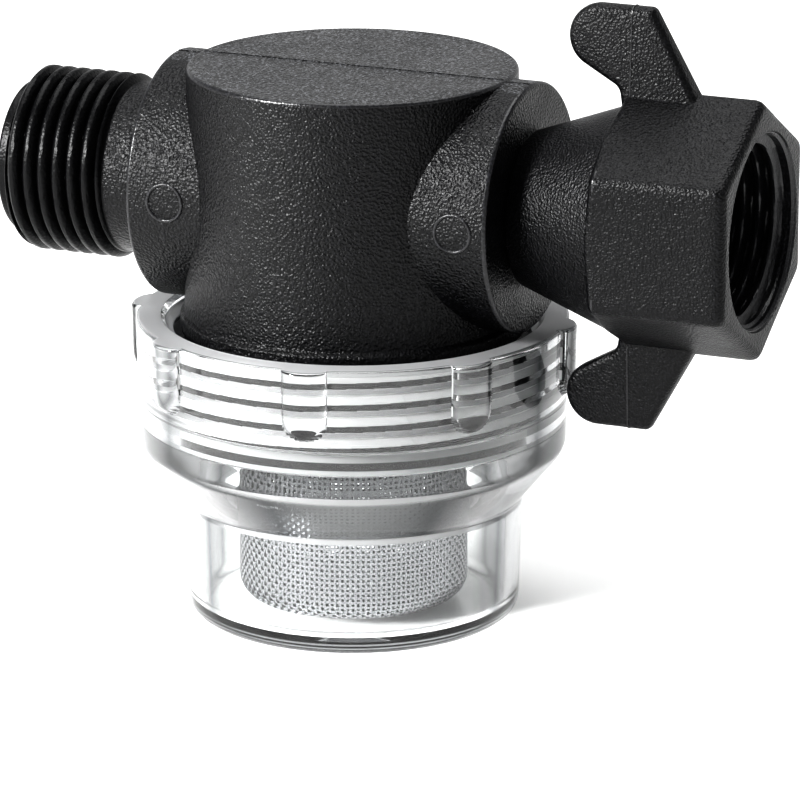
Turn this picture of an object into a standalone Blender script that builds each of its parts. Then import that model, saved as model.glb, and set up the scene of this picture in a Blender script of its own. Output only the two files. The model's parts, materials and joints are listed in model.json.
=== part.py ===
# Inline water filter for a caravan water pump: a black strainer body with a male pipe inlet,
# a clear screw-on bowl with a woven steel screen, and a wing nut that swivels on the outlet.
# Units are metres. +X runs along the pipe to the outlet, +Z is up, and the origin is the
# centre of the bowl's flat base, on which the filter stands.
import math

import bmesh
import bpy
from mathutils import Matrix

# Clearances
TOUCH_GAP = 0.0003            # between pieces that rest on each other or pass close by
THREAD_CREST_GAP = 0.0004     # from the skirt's thread crest to the bottom of the bowl's thread
SCREEN_FIT = 0.0005           # from the screen's inside to the spigot that it slips over

# Half-inch parallel pipe thread, 14 to the inch
PIPE_PITCH = 0.0254 / 14
PIPE_THREAD_RADIUS = 0.0106
PIPE_THREAD_DEPTH = 0.0011
PIPE_FIT = 0.00015            # female thread over male thread, on the radius
PIPE_RIDGE_FOOT = 0.9 * PIPE_PITCH
PIPE_RIDGE_CREST = 0.25 * PIPE_PITCH

# Strainer body
BODY_RADIUS = 0.0191          # at the foot of the drum
BODY_DRAFT = 0.00045          # how much less the radius is at the top
FLARE_PROUD = 0.00065         # bead at the drum's foot
FLARE_HEIGHT = 0.0011
BOSS_RADIUS = 0.0141          # round boss at each end of the pipe line
BOSS_PROUD = 0.00265          # boss face beyond the drum
CAP_RISE = 0.0002             # drum top above the bosses
ROOF_THICKNESS = 0.0030
EDGE_ROUND = 0.0005

# Inlet stub
INLET_THREAD_LENGTH = 0.0121
INLET_LEAD_LENGTH = 0.0012
INLET_LEAD_DEPTH = 0.0018     # plain lead end, below the thread's crest
INLET_NECK_LENGTH = 0.00535
INLET_NECK_DEPTH = 0.0009
INLET_BORE_RADIUS = 0.0069

# Outlet tail inside the nut, and the passage from the screen up to it
TAIL_RADIUS = 0.0072
TAIL_LAND = 0.00135           # tail beyond the retaining ring's groove
OUTLET_BORE_RADIUS = 0.0056
DUCT_WALL = 0.0019
RING_GROOVE_DEPTH = 0.0007
SPIGOT_HEIGHT = 0.0040        # plug at the duct's lower end that the screen slips over
SPIGOT_CONE_HEIGHT = 0.0045

# Retaining ring and washer
RETAINER_WIDTH = 0.0013
RETAINER_PROUD = 0.0020       # beyond the tail
RETAINER_SPLIT = math.radians(28)
WASHER_THICKNESS = 0.0018
WASHER_SLACK = 0.0004         # inside the nut's thread crests

# Wing nut
NUT_BORE_WALL = 0.0013        # at the cone's small end
NUT_WALL = 0.0022             # hexagon flat outside the thread
CONE_LENGTH = 0.0114
HEX_LENGTH = 0.0155
HEX_EDGE_ROUND = 0.0009
MOUTH_CHAMFER = 0.0004
WING_RISE = 0.0092            # tip above the hexagon's corner
WING_LOBE_RADIUS = 0.0037
WING_ROOT_LENGTH = 0.0073
WING_BACK = 0.0018            # how far the root runs back over the cone
WING_TIP_LENGTH = 0.0024      # flat tip ahead of the parting plane
WING_ROOT_THICKNESS = 0.0033
WING_TIP_THICKNESS = 0.0022
WING_EDGE_ROUND = 0.0006

# Screw joint between skirt and bowl, right-handed
SKIRT_PITCH = 0.0025
SKIRT_STEP = 0.00035          # thread root inside the bead
SKIRT_THREAD_DEPTH = 0.0015
SKIRT_LENGTH = 0.0106         # from the ring's top down to the skirt's end
SKIRT_WALL = 0.0028
SKIRT_LEAD_IN = 0.0008        # plain end before either thread starts
SKIRT_RUN_OUT = 0.0020        # plain stretch between the skirt's thread and the bead
SKIRT_RIDGE_FOOT = 0.62 * SKIRT_PITCH
SKIRT_RIDGE_CREST = 0.2 * SKIRT_PITCH

# Shape of the ends of both threads, and of fillets
RIDGE_SUNK_SHARE = 0.25       # share of a ridge's depth that is sunk in its wall
RIDGE_END_SHARE = 0.1         # height left at a ridge's very end
RIDGE_FADE_TURNS = 0.25
FILLET_SHARE = 0.45           # most of a straight that one fillet takes up
SHARP_ANGLE = math.radians(32)

# Clear bowl
RING_WALL = 0.0033
RING_DRAFT = 0.0003
RING_HEIGHT = 0.0150
SHOULDER_HEIGHT = 0.0060
CUP_HEIGHT = 0.0140
CUP_WALL = 0.0017
CUP_DRAFT = 0.0005
FLOOR_THICKNESS = 0.0018
BASE_ROUND = 0.0020
SHOULDER_ROUND = 0.0028
CUP_FLOW_GAP = 0.0046         # water space between screen and cup
RIB_COUNT = 8
RIB_WIDTH = 0.0052
RIB_PROUD = 0.0013
RIB_LENGTH = 0.0081
RIB_SUNK = 0.0008             # rib's axis inside the ring's surface
RIB_DOME_END = math.radians(82)
RIB_PHASE = math.radians(-79.6)   # first rib, measured from +X towards +Y

# O-ring, screen
O_RING_SECTION = 0.0018
SCREEN_FLOW_GAP = 0.0035      # water space between screen and skirt
SCREEN_WALL = 0.0004
SCREEN_CORNER = 0.0026
RIM_BAND = 0.0008             # rim ring outside the mesh
RIM_HEIGHT = 0.0024
RIM_LIP = 0.0004

# Facets
DRUM_STEPS = 48
PIPE_STEPS = 30
SEAL_STEPS = 32
O_RING_SIDES = 8
RIB_STEPS = 10
RIB_DOME_STEPS = 3
LOBE_STEPS = 8

# Radii that follow from the sizes above
flare_radius = BODY_RADIUS + FLARE_PROUD
skirt_root_radius = flare_radius - SKIRT_STEP
skirt_crest_radius = skirt_root_radius + SKIRT_THREAD_DEPTH
chamber_radius = skirt_root_radius - SKIRT_WALL
bowl_crest_radius = flare_radius + TOUCH_GAP
bowl_root_radius = skirt_crest_radius + THREAD_CREST_GAP
seat_radius = (bowl_crest_radius + skirt_root_radius) / 2
ring_radius = bowl_root_radius + RING_WALL
rib_tip_radius = ring_radius + RIB_PROUD
screen_radius = chamber_radius - SCREEN_FLOW_GAP
rim_radius = screen_radius + TOUCH_GAP + RIM_BAND
spigot_radius = screen_radius - SCREEN_WALL - SCREEN_FIT
cup_radius = screen_radius + CUP_FLOW_GAP + CUP_WALL
duct_radius = OUTLET_BORE_RADIUS + DUCT_WALL
pipe_root_radius = PIPE_THREAD_RADIUS - PIPE_THREAD_DEPTH
nut_root_radius = PIPE_THREAD_RADIUS + PIPE_FIT
nut_crest_radius = nut_root_radius - PIPE_THREAD_DEPTH
nut_bore_radius = TAIL_RADIUS + TOUCH_GAP
hex_apothem = nut_root_radius + NUT_WALL
hex_corner_radius = hex_apothem / math.cos(math.radians(30))

# Heights above the base
ring_top = CUP_HEIGHT + SHOULDER_HEIGHT + RING_HEIGHT
pipe_height = ring_top + BOSS_RADIUS + TOUCH_GAP
body_top = pipe_height + BOSS_RADIUS + CAP_RISE
skirt_end = ring_top - SKIRT_LENGTH
seat_height = skirt_end - O_RING_SECTION - 2 * TOUCH_GAP
screen_base = FLOOR_THICKNESS + TOUCH_GAP
screen_top = skirt_end - TOUCH_GAP

# The two threads of the screw joint are half a pitch apart, and each fills its own wall.
skirt_thread_start = skirt_end + SKIRT_LEAD_IN
bowl_thread_start = skirt_thread_start + SKIRT_PITCH / 2
skirt_turns = (SKIRT_LENGTH - SKIRT_LEAD_IN - SKIRT_RUN_OUT) / SKIRT_PITCH
bowl_turns = (ring_top - SKIRT_LEAD_IN - SKIRT_RIDGE_FOOT / 2 - bowl_thread_start) / SKIRT_PITCH

# Stations along the pipe, from the drum's axis
boss_face = BODY_RADIUS + BOSS_PROUD
inlet_end = -(boss_face + INLET_NECK_LENGTH + INLET_THREAD_LENGTH + INLET_LEAD_LENGTH)
nut_start = boss_face + TOUCH_GAP
hex_start = nut_start + CONE_LENGTH
nut_end = hex_start + HEX_LENGTH
groove_width = RETAINER_WIDTH + 2 * TOUCH_GAP
groove_start = hex_start - TOUCH_GAP
retainer_start = groove_start + TOUCH_GAP
tail_end = groove_start + groove_width + TAIL_LAND
washer_start = tail_end + TOUCH_GAP
washer_end = washer_start + WASHER_THICKNESS


def clear_scene():
    for item in list(bpy.data.objects):
        bpy.data.objects.remove(item, do_unlink=True)


def material(name, color, roughness, metallic=0.0, alpha=1.0):
    made = bpy.data.materials.new(name)
    made.use_nodes = True
    shader = made.node_tree.nodes["Principled BSDF"]
    shader.inputs["Base Color"].default_value = (*color, 1.0)
    shader.inputs["Roughness"].default_value = roughness
    shader.inputs["Metallic"].default_value = metallic
    shader.inputs["Alpha"].default_value = alpha
    made.diffuse_color = (*color, alpha)
    return made


def arc_points(before, corner, after, radius, steps):
    """Points of the fillet of this radius in the corner, at most as large as its shorter side allows."""
    to_before = (before[0] - corner[0], before[1] - corner[1])
    to_after = (after[0] - corner[0], after[1] - corner[1])
    length_before = math.hypot(*to_before)
    length_after = math.hypot(*to_after)
    unit_before = (to_before[0] / length_before, to_before[1] / length_before)
    unit_after = (to_after[0] / length_after, to_after[1] / length_after)
    cosine = unit_before[0] * unit_after[0] + unit_before[1] * unit_after[1]
    half = math.acos(max(-1.0, min(1.0, cosine))) / 2
    reach = min(radius / math.tan(half), FILLET_SHARE * length_before, FILLET_SHARE * length_after)
    radius = reach * math.tan(half)
    middle = (unit_before[0] + unit_after[0], unit_before[1] + unit_after[1])
    scale = radius / math.sin(half) / math.hypot(*middle)
    centre = (corner[0] + middle[0] * scale, corner[1] + middle[1] * scale)
    start = math.atan2(corner[1] + unit_before[1] * reach - centre[1],
                       corner[0] + unit_before[0] * reach - centre[0])
    turn = math.pi - 2 * half
    side = unit_before[0] * unit_after[1] - unit_before[1] * unit_after[0]
    if side > 0:
        turn = -turn
    return [(centre[0] + radius * math.cos(start + turn * step / steps),
             centre[1] + radius * math.sin(start + turn * step / steps)) for step in range(steps + 1)]


def rounded(corners, steps=2):
    """Outline through corners of (radius, height) or (radius, height, fillet radius)."""
    points = []
    for index, corner in enumerate(corners):
        if len(corner) == 2:
            points.append(corner)
            continue
        before = corners[index - 1]
        after = corners[(index + 1) % len(corners)]
        points += arc_points(before, corner, after, corner[2], steps)
    return points


def turned(outline, steps, capped=True, angle=2 * math.pi):
    """Outline of (radius, height) spun about Z: a solid with flat round ends or, uncapped, a ring.

    Points on the axis only guide the outline's fillets, because each flat end is one face.
    """
    shape = bmesh.new()
    verts = [shape.verts.new((radius, 0.0, height)) for radius, height in outline if radius > 0]
    edges = [shape.edges.new(pair) for pair in zip(verts, verts[1:])]
    if not capped:
        edges.append(shape.edges.new((verts[-1], verts[0])))
    bmesh.ops.spin(shape, geom=verts + edges, cent=(0, 0, 0), axis=(0, 0, 1), angle=angle,
                   steps=steps, use_merge=angle >= 2 * math.pi)
    open_edges = [edge for edge in shape.edges if edge.is_boundary]
    bmesh.ops.holes_fill(shape, edges=open_edges, sides=0)
    bmesh.ops.recalc_face_normals(shape, faces=shape.faces)
    return shape


def helical_ridge(root, crest, start, pitch, turns, steps, foot_width, crest_width):
    """Thread ridge on a cylinder of radius root, rising to crest and sunk a little into the wall.

    Each section is a trapezium. Over the first and last quarter turn it sinks into the wall.
    """
    sunk = root - RIDGE_SUNK_SHARE * (crest - root)
    total = round(turns * steps)
    fade = RIDGE_FADE_TURNS * steps
    shape = bmesh.new()
    rings = []
    for step in range(total + 1):
        grown = min(1.0, step / fade, (total - step) / fade)
        top = sunk + (crest - sunk) * (RIDGE_END_SHARE + (1 - RIDGE_END_SHARE) * grown)
        angle = 2 * math.pi * step / steps
        middle = start + pitch * step / steps
        section = [(sunk, -foot_width / 2), (top, -crest_width / 2),
                   (top, crest_width / 2), (sunk, foot_width / 2)]
        rings.append([shape.verts.new((radius * math.cos(angle), radius * math.sin(angle), middle + offset))
                      for radius, offset in section])
    for one, two in zip(rings, rings[1:]):
        for side in range(4):
            after = (side + 1) % 4
            shape.faces.new((one[side], one[after], two[after], two[side]))
    shape.faces.new(rings[0])
    shape.faces.new(rings[-1])
    bmesh.ops.recalc_face_normals(shape, faces=shape.faces)
    return shape


def block(low, high):
    """Box between two corners."""
    shape = bmesh.new()
    bmesh.ops.create_cube(shape, size=1.0)
    for vert in shape.verts:
        vert.co = [low[i] + (vert.co[i] + 0.5) * (high[i] - low[i]) for i in range(3)]
    return shape


def add_object(name, shape, look, parent=None):
    """Object from a bmesh, at its parent's origin."""
    mesh = bpy.data.meshes.new(name)
    shape.to_mesh(mesh)
    shape.free()
    mesh.shade_smooth()
    mesh.set_sharp_from_angle(angle=SHARP_ANGLE)
    made = bpy.data.objects.new(name, mesh)
    made.data.materials.append(look)
    made.parent = parent
    bpy.context.scene.collection.objects.link(made)
    return made


def add_helper(name, shape, parent):
    """Solid that a Boolean joins to a piece or cuts from it."""
    made = add_object(name, shape, looks["helper"], parent)
    made.hide_render = True
    made.display_type = "WIRE"
    return made


def combine(piece, operation, helper):
    change = piece.modifiers.new(helper.name, "BOOLEAN")
    change.operation = operation
    change.solver = "EXACT"
    change.object = helper


def pipe_line():
    """Empty on the pipe's axis whose own Z runs along the pipe to the outlet."""
    made = bpy.data.objects.new("pipe_axis", None)
    made.location = (0, 0, pipe_height)
    made.rotation_euler = (0, math.radians(90), 0)
    bpy.context.scene.collection.objects.link(made)
    return made


def bowl_line():
    """Empty on the bowl's axis, at the base."""
    made = bpy.data.objects.new("bowl_axis", None)
    bpy.context.scene.collection.objects.link(made)
    return made


def strainer_body():
    """Drum, bosses, threaded inlet stub, outlet tail, threaded skirt and inner duct, in one moulding."""
    bead_top = ring_top + FLARE_HEIGHT
    bead_foot = ring_top - FLARE_HEIGHT
    drum = rounded([
        (0, body_top), (BODY_RADIUS - BODY_DRAFT, body_top, EDGE_ROUND),
        (BODY_RADIUS, bead_top), (flare_radius, ring_top), (flare_radius, bead_foot),
        (skirt_root_radius, bead_foot - SKIRT_STEP), (skirt_root_radius, skirt_end),
    ])
    body = add_object("strainer_body", turned(drum, DRUM_STEPS), looks["body"], bowl_axis)

    neck_radius = PIPE_THREAD_RADIUS - INLET_NECK_DEPTH
    lead_radius = PIPE_THREAD_RADIUS - INLET_LEAD_DEPTH
    thread_start = inlet_end + INLET_LEAD_LENGTH
    thread_end = thread_start + INLET_THREAD_LENGTH
    groove_radius = TAIL_RADIUS - RING_GROOVE_DEPTH
    groove_end = groove_start + groove_width
    line = rounded([
        (0, inlet_end), (lead_radius, inlet_end, EDGE_ROUND), (lead_radius, thread_start),
        (pipe_root_radius, thread_start), (pipe_root_radius, thread_end),
        (neck_radius, thread_end), (neck_radius, -boss_face), (BOSS_RADIUS, -boss_face, EDGE_ROUND),
        (BOSS_RADIUS, boss_face, EDGE_ROUND), (TAIL_RADIUS, boss_face), (TAIL_RADIUS, groove_start),
        (groove_radius, groove_start), (groove_radius, groove_end), (TAIL_RADIUS, groove_end),
        (TAIL_RADIUS, tail_end),
    ], 2)
    combine(body, "UNION", add_helper("pipe_solid", turned(line, PIPE_STEPS), pipe_axis))

    roof = body_top - ROOF_THICKNESS
    below = skirt_end - SPIGOT_HEIGHT
    chamber = [(chamber_radius, roof), (chamber_radius, below)]
    combine(body, "DIFFERENCE", add_helper("chamber", turned(chamber, DRUM_STEPS), bowl_axis))

    # The duct is solid up to the roof, so that the chamber's core can be drawn out downwards.
    # Web, tube and post end inside the roof and the wall, each at its own depth.
    web_end = chamber_radius + SKIRT_WALL / 2
    web_top = roof + ROOF_THICKNESS / 2
    web_half = duct_radius - TOUCH_GAP
    web = block((0, -web_half, pipe_height), (web_end, web_half, web_top))
    combine(body, "UNION", add_helper("duct_web", web, bowl_axis))
    duct = [(duct_radius, 0), (duct_radius, web_end)]
    combine(body, "UNION", add_helper("duct_tube", turned(duct, PIPE_STEPS), pipe_axis))
    spigot_end = skirt_end - SPIGOT_HEIGHT / 2
    spigot_top = spigot_end + SPIGOT_HEIGHT
    post_radius = duct_radius + TOUCH_GAP
    post_top = roof + ROOF_THICKNESS / 3
    post = [
        (post_radius, post_top), (post_radius, spigot_top + SPIGOT_CONE_HEIGHT),
        (spigot_radius, spigot_top), (spigot_radius, spigot_end),
    ]
    combine(body, "UNION", add_helper("duct_post", turned(post, PIPE_STEPS), bowl_axis))

    rise_radius = OUTLET_BORE_RADIUS + TOUCH_GAP
    rise = [
        (rise_radius, pipe_height), (rise_radius, spigot_top),
        (spigot_radius - DUCT_WALL, spigot_end - TOUCH_GAP),
    ]
    combine(body, "DIFFERENCE", add_helper("duct_bore", turned(rise, PIPE_STEPS), bowl_axis))
    outlet = [(OUTLET_BORE_RADIUS, -OUTLET_BORE_RADIUS),
              (OUTLET_BORE_RADIUS, tail_end + TOUCH_GAP)]
    combine(body, "DIFFERENCE", add_helper("outlet_bore", turned(outlet, PIPE_STEPS), pipe_axis))
    inner = -(chamber_radius + duct_radius) / 2
    inlet = [(INLET_BORE_RADIUS, inlet_end - TOUCH_GAP),
             (INLET_BORE_RADIUS, inner)]
    combine(body, "DIFFERENCE", add_helper("inlet_bore", turned(inlet, PIPE_STEPS), pipe_axis))

    turns = INLET_THREAD_LENGTH / PIPE_PITCH - 1
    inlet_thread = helical_ridge(pipe_root_radius, PIPE_THREAD_RADIUS, thread_start + PIPE_PITCH / 2,
                                 PIPE_PITCH, turns, PIPE_STEPS, PIPE_RIDGE_FOOT, PIPE_RIDGE_CREST)
    combine(body, "UNION", add_helper("inlet_thread", inlet_thread, pipe_axis))
    skirt_thread = helical_ridge(skirt_root_radius, skirt_crest_radius, skirt_thread_start, SKIRT_PITCH,
                                 skirt_turns, DRUM_STEPS, SKIRT_RIDGE_FOOT, SKIRT_RIDGE_CREST)
    combine(body, "UNION", add_helper("skirt_thread", skirt_thread, bowl_axis))


def clear_bowl():
    """Ring with the inner thread, shoulder and cup, with ribs to grip."""
    ring_foot = ring_top - RING_HEIGHT
    shoulder_foot = ring_foot - SHOULDER_HEIGHT
    inner_radius = cup_radius - CUP_WALL
    mouth = ring_top - EDGE_ROUND
    thread_foot = skirt_end + TOUCH_GAP
    outline = rounded([
        (0, FLOOR_THICKNESS), (inner_radius - CUP_DRAFT, FLOOR_THICKNESS, BASE_ROUND - FLOOR_THICKNESS / 2),
        (inner_radius, seat_height, EDGE_ROUND), (seat_radius, seat_height), (seat_radius, thread_foot),
        (bowl_root_radius, thread_foot + EDGE_ROUND), (bowl_root_radius, mouth),
        (bowl_root_radius + EDGE_ROUND, ring_top), (ring_radius, ring_top, EDGE_ROUND),
        (ring_radius - RING_DRAFT, ring_foot, SHOULDER_ROUND), (cup_radius, shoulder_foot, EDGE_ROUND),
        (cup_radius - CUP_DRAFT, 0, BASE_ROUND), (0, 0),
    ])
    bowl = add_object("clear_bowl", turned(outline, DRUM_STEPS), looks["bowl"], bowl_axis)

    thread = helical_ridge(bowl_root_radius, bowl_crest_radius, bowl_thread_start, SKIRT_PITCH,
                           bowl_turns, DRUM_STEPS, SKIRT_RIDGE_FOOT, SKIRT_RIDGE_CREST)
    combine(bowl, "UNION", add_helper("bowl_thread", thread, bowl_axis))
    combine(bowl, "UNION", add_helper("grip_ribs", grip_ribs(), bowl_axis))


def grip_ribs():
    """Half-round ribs round the ring, each with a domed lower end, as one set of separate bodies."""
    top = ring_top - TOUCH_GAP
    half = RIB_WIDTH / 2
    dome_centre = ring_top - RIB_LENGTH + half
    angles = [RIB_DOME_END * step / RIB_DOME_STEPS for step in range(RIB_DOME_STEPS + 1)]
    outline = [(half, top)]
    outline += [(half * math.cos(angle), dome_centre - half * math.sin(angle)) for angle in angles]
    middle = ring_radius - RIB_SUNK
    reach = (rib_tip_radius - middle) / half
    ribs = bmesh.new()
    for index in range(RIB_COUNT):
        rib = turned(outline, RIB_STEPS)
        turn = Matrix.Rotation(RIB_PHASE + 2 * math.pi * index / RIB_COUNT, 4, "Z")
        place = turn @ Matrix.Translation((middle, 0, 0)) @ Matrix.Diagonal((reach, 1, 1, 1))
        bmesh.ops.transform(rib, matrix=place, verts=rib.verts)
        copy = bpy.data.meshes.new("rib")
        rib.to_mesh(copy)
        rib.free()
        ribs.from_mesh(copy)
        bpy.data.meshes.remove(copy)
    return ribs


def bowl_o_ring():
    """O-ring between the skirt's end and the seat in the bowl."""
    half = O_RING_SECTION / 2
    middle = seat_radius - TOUCH_GAP - half
    height = seat_height + TOUCH_GAP + half
    angles = [2 * math.pi * side / O_RING_SIDES for side in range(O_RING_SIDES)]
    outline = [(middle + half * math.cos(angle), height + half * math.sin(angle)) for angle in angles]
    add_object("bowl_o_ring", turned(outline, SEAL_STEPS, capped=False), looks["rubber"], bowl_axis)


def screen_mesh_cup():
    """Woven steel cup that takes the grit, as a thin closed shell open at the top."""
    inner = screen_radius - SCREEN_WALL
    outline = rounded([
        (0, screen_base), (screen_radius, screen_base, SCREEN_CORNER), (screen_radius, screen_top),
        (inner, screen_top), (inner, screen_base + SCREEN_WALL, SCREEN_CORNER - SCREEN_WALL),
        (0, screen_base + SCREEN_WALL),
    ])
    add_object("screen_mesh_cup", turned(outline, DRUM_STEPS), looks["steel"], bowl_axis)


def screen_rim_ring():
    """Pressed steel ring over the screen's open edge."""
    band = screen_radius + TOUCH_GAP
    lip = screen_top + TOUCH_GAP
    foot = lip + RIM_LIP - RIM_HEIGHT
    outline = rounded([
        (spigot_radius + TOUCH_GAP, lip), (band, lip), (band, foot), (rim_radius, foot),
        (rim_radius, lip + RIM_LIP, RIM_LIP), (spigot_radius + TOUCH_GAP, lip + RIM_LIP),
    ])
    add_object("screen_rim_ring", turned(outline, DRUM_STEPS, capped=False), looks["steel"], bowl_axis)


def nut_retaining_ring():
    """Split ring in the tail's groove, which holds the nut on the tail."""
    inner = TAIL_RADIUS - RING_GROOVE_DEPTH + TOUCH_GAP
    outer = TAIL_RADIUS + RETAINER_PROUD
    outline = [(inner, retainer_start), (outer, retainer_start), (outer, retainer_start + RETAINER_WIDTH),
               (inner, retainer_start + RETAINER_WIDTH)]
    ring = turned(outline, PIPE_STEPS, capped=False, angle=2 * math.pi - RETAINER_SPLIT)
    add_object("nut_retaining_ring", ring, looks["ring"], pipe_axis)


def outlet_washer():
    """Flat rubber washer on the tail's end, which the mating pipe is drawn against."""
    outer = nut_crest_radius - WASHER_SLACK
    outline = rounded([
        (OUTLET_BORE_RADIUS + TOUCH_GAP, washer_start), (outer, washer_start), (outer, washer_end, TOUCH_GAP),
        (OUTLET_BORE_RADIUS + TOUCH_GAP, washer_end, TOUCH_GAP),
    ], 2)
    add_object("outlet_washer", turned(outline, SEAL_STEPS, capped=False), looks["rubber"], pipe_axis)


def wing_outline():
    """One wing in the plane of the pipe: (station, rise from the axis), swept back over the cone."""
    tip = hex_corner_radius + WING_RISE
    root = hex_corner_radius - NUT_WALL
    parting = hex_start + TOUCH_GAP
    lobe_back = rib_tip_radius + TOUCH_GAP
    lobe = (lobe_back + WING_LOBE_RADIUS, tip - WING_LOBE_RADIUS)
    lead_root = parting + WING_ROOT_LENGTH
    trail_root = (parting - WING_BACK, hex_corner_radius)
    # Behind the hexagon the root goes down into the cone.
    deep_root = nut_root_radius + TOUCH_GAP
    # The back edge leaves the lobe along its tangent through the root.
    away = (trail_root[0] - lobe[0], trail_root[1] - lobe[1])
    distance = math.hypot(*away)
    tangent = math.atan2(away[1], away[0]) - math.acos(WING_LOBE_RADIUS / distance)
    start = math.radians(90)
    end = tangent if tangent > 0 else tangent + 2 * math.pi
    angles = [start + (end - start) * step / LOBE_STEPS for step in range(LOBE_STEPS + 1)]
    front = [(lead_root, root), (lead_root - TOUCH_GAP, hex_corner_radius),
             (parting + WING_TIP_LENGTH, tip)]
    arc = [(lobe[0] + WING_LOBE_RADIUS * math.cos(angle), lobe[1] + WING_LOBE_RADIUS * math.sin(angle))
           for angle in angles]
    return front + arc + [trail_root, (trail_root[0], deep_root)]


def wing(side):
    """Wing plate on the hexagon's corner, thinner towards the tip. side is 1 for the wing at local +X."""
    outline = wing_outline()
    tip = hex_corner_radius + WING_RISE
    shape = bmesh.new()
    faces = []
    for face_side in (-1, 1):
        verts = []
        for station, rise in outline:
            share = max(0.0, (rise - hex_apothem) / (tip - hex_apothem))
            thickness = WING_ROOT_THICKNESS + (WING_TIP_THICKNESS - WING_ROOT_THICKNESS) * share
            verts.append(shape.verts.new((side * rise, face_side * thickness / 2, station)))
        faces.append(verts)
        shape.faces.new(verts)
    for index in range(len(outline)):
        after = (index + 1) % len(outline)
        shape.faces.new((faces[0][index], faces[0][after], faces[1][after], faces[1][index]))
    bmesh.ops.recalc_face_normals(shape, faces=shape.faces)
    rim = [edge for edge in shape.edges if edge.verts[0].co.y * edge.verts[1].co.y > 0]
    bmesh.ops.bevel(shape, geom=rim, offset=WING_EDGE_ROUND, segments=2, profile=0.5, affect="EDGES",
                    clamp_overlap=True)
    return shape


def hexagon():
    """Hexagonal end of the nut, with its corners at local X and its edges rounded."""
    shape = bmesh.new()
    middle = Matrix.Translation((0, 0, hex_start + HEX_LENGTH / 2))
    place = middle @ Matrix.Rotation(math.radians(90), 4, "Z")
    bmesh.ops.create_cone(shape, cap_ends=True, segments=6, radius1=hex_corner_radius,
                          radius2=hex_corner_radius, depth=HEX_LENGTH, matrix=place)
    bmesh.ops.bevel(shape, geom=list(shape.edges), offset=HEX_EDGE_ROUND, segments=2, profile=0.5,
                    affect="EDGES", clamp_overlap=True)
    return shape


def wing_nut():
    """Swivel nut: cone over the tail, hexagon with the pipe thread, and two wings."""
    cone = [(nut_bore_radius + NUT_BORE_WALL, nut_start), (hex_apothem - TOUCH_GAP, hex_start),
            (hex_apothem - TOUCH_GAP, hex_start + NUT_WALL)]
    nut = add_object("wing_nut", turned(cone, PIPE_STEPS), looks["body"], pipe_axis)
    combine(nut, "UNION", add_helper("nut_hexagon", hexagon(), pipe_axis))
    combine(nut, "UNION", add_helper("wing_up", wing(-1), pipe_axis))
    combine(nut, "UNION", add_helper("wing_down", wing(1), pipe_axis))

    shoulder = groove_start
    thread_wall = washer_end + TOUCH_GAP
    passage = [
        (nut_bore_radius, nut_start - TOUCH_GAP), (nut_bore_radius, shoulder),
        (nut_crest_radius, shoulder), (nut_crest_radius, thread_wall),
        (nut_root_radius, thread_wall + PIPE_THREAD_DEPTH), (nut_root_radius, nut_end - MOUTH_CHAMFER),
        (nut_root_radius + MOUTH_CHAMFER, nut_end + TOUCH_GAP),
    ]
    combine(nut, "DIFFERENCE", add_helper("nut_passage", turned(passage, PIPE_STEPS), pipe_axis))
    thread_foot = thread_wall + PIPE_THREAD_DEPTH
    turns = (nut_end - MOUTH_CHAMFER - thread_foot) / PIPE_PITCH - 1
    thread = helical_ridge(nut_root_radius, nut_crest_radius, thread_foot + PIPE_PITCH / 2, PIPE_PITCH,
                           turns, PIPE_STEPS, PIPE_RIDGE_FOOT, PIPE_RIDGE_CREST)
    combine(nut, "UNION", add_helper("nut_thread", thread, pipe_axis))


clear_scene()
looks = {
    "body": material("black_moulded_nylon", (0.013, 0.014, 0.017), 0.5),
    "bowl": material("clear_moulded_plastic", (0.9, 0.92, 0.93), 0.05, alpha=0.3),
    "rubber": material("black_rubber", (0.01, 0.01, 0.01), 0.65),
    "steel": material("stainless_steel", (0.6, 0.6, 0.6), 0.3, metallic=1.0),
    "ring": material("white_acetal", (0.75, 0.75, 0.72), 0.4),
    "helper": material("helper", (0.5, 0.5, 0.5), 0.5),
}
bowl_axis = bowl_line()
pipe_axis = pipe_line()
strainer_body()
clear_bowl()
bowl_o_ring()
screen_mesh_cup()
screen_rim_ring()
wing_nut()
nut_retaining_ring()
outlet_washer()
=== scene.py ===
# Looks of a twist-on inline water filter for a caravan pump: black glass-filled nylon strainer body and
# wing nut, clear screw-on bowl, woven stainless screen. Shapes are worked out in millimetres.
import json
import math

import bpy
import numpy as np
from mathutils import Matrix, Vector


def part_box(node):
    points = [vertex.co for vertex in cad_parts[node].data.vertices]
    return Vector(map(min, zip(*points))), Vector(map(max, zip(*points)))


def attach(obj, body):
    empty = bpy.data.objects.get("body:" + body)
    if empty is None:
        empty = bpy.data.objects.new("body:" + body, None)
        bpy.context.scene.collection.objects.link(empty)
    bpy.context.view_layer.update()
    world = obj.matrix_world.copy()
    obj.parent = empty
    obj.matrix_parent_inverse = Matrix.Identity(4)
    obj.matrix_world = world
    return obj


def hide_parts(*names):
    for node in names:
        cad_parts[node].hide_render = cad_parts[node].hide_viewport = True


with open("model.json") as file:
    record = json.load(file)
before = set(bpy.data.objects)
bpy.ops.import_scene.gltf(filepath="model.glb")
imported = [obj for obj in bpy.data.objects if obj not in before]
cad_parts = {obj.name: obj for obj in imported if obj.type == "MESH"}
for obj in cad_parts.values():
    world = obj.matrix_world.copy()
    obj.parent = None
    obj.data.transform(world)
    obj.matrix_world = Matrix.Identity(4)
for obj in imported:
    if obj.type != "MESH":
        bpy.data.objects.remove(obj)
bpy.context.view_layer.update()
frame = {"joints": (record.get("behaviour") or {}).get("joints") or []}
mm = 0.001
print("frame loaded")


def nodeBox(node):
    # Low and high corner of a CAD node's box, in millimetres: metres divided by a thousandth.
    low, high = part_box(node)
    return np.array(low) / mm, np.array(high) / mm


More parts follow.
